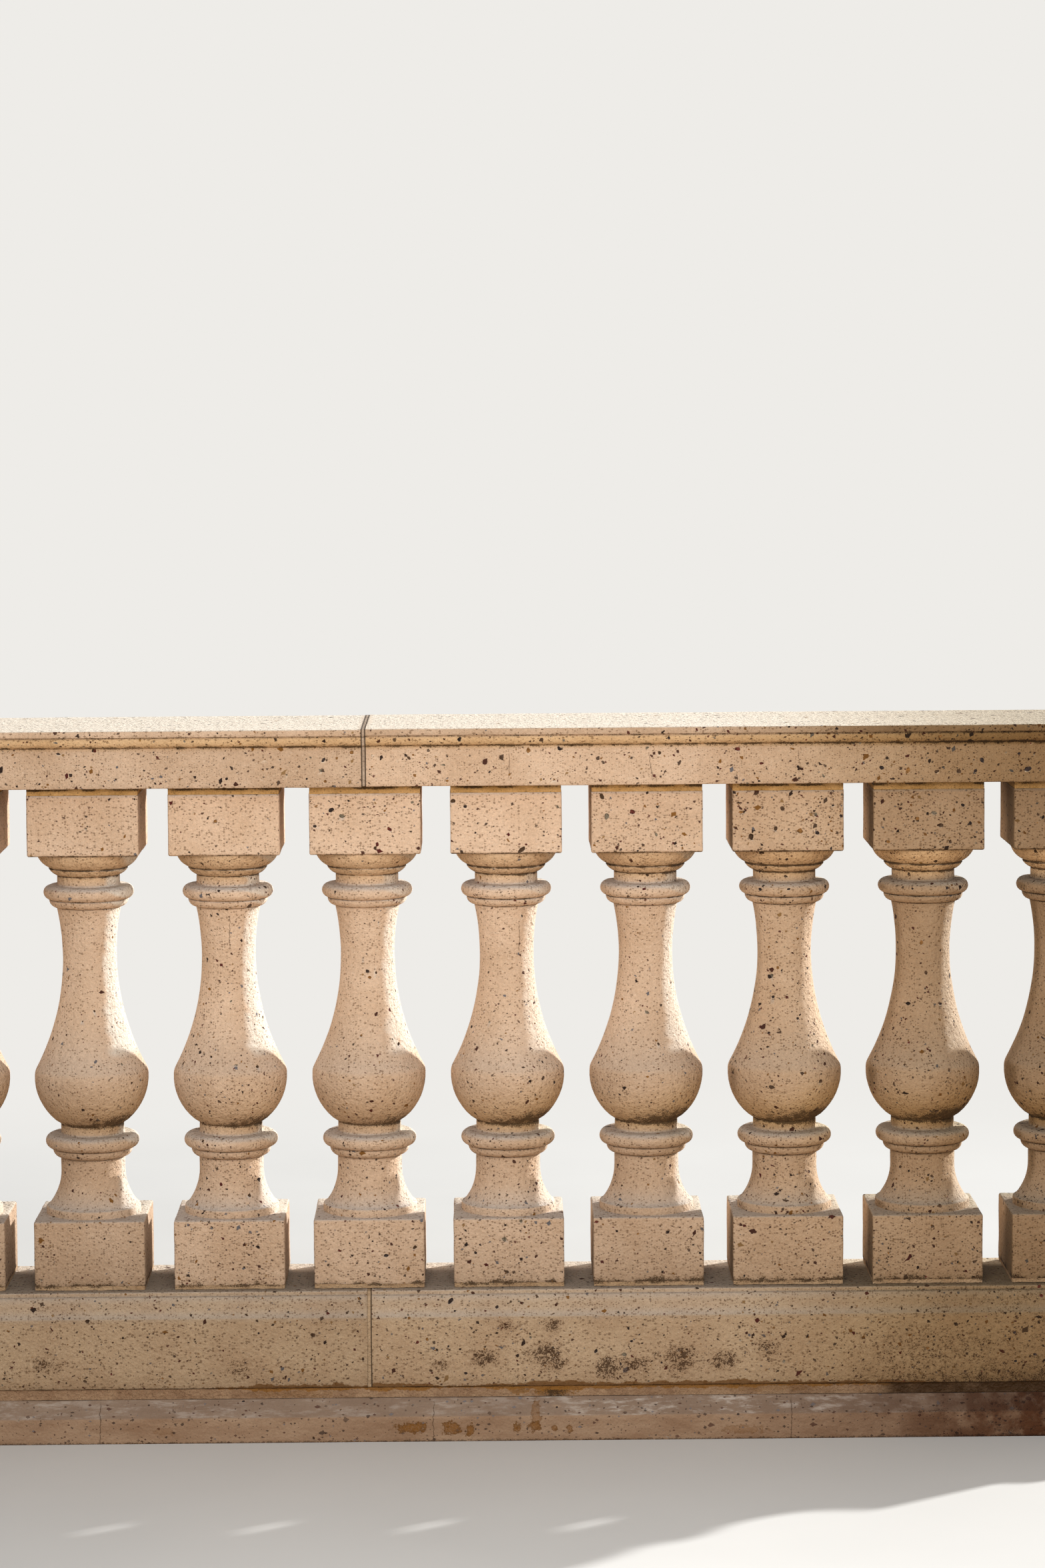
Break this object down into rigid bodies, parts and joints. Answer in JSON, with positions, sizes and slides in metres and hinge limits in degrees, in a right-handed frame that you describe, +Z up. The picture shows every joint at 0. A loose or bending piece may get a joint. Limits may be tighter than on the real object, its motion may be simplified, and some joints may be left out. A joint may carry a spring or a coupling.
{
  "type": "stone balustrade",
  "caption": "Straight run of turned vase balusters on mortar beds, between a moulded base course over a plinth kerb and a moulded handrail, in pitted cast stone.",
  "frame": {"origin": "middle of the plinth kerb's underside", "axes": "+X along the run, +Z up, the pictured face looks towards -Y"},
  "size_m": [2.925, 0.288, 1.1476],
  "materials": {
    "cast_stone": "rough, sandy, finely pitted",
    "kerb_stone": "rough, float-finished",
    "pointing_mortar": "rough, sandy",
    "stained_mortar": "rough, stained"
  },
  "bodies": {
    "root": {"plinth_kerb": "kerb_stone", "base_bed": "stained_mortar", "base_left": "cast_stone", "base_right": "cast_stone", "base_joint": "pointing_mortar", "baluster_beds_lower": "pointing_mortar", "baluster_01": "cast_stone", "baluster_02": "cast_stone", "baluster_03": "cast_stone", "baluster_04": "cast_stone", "baluster_05": "cast_stone", "baluster_06": "cast_stone", "baluster_07": "cast_stone", "baluster_08": "cast_stone", "baluster_09": "cast_stone", "baluster_10": "cast_stone", "baluster_11": "cast_stone", "baluster_12": "cast_stone", "baluster_13": "cast_stone", "baluster_beds_upper": "pointing_mortar", "rail_left": "cast_stone", "rail_right": "cast_stone", "rail_joint": "pointing_mortar"}
  },
  "joints": []
}
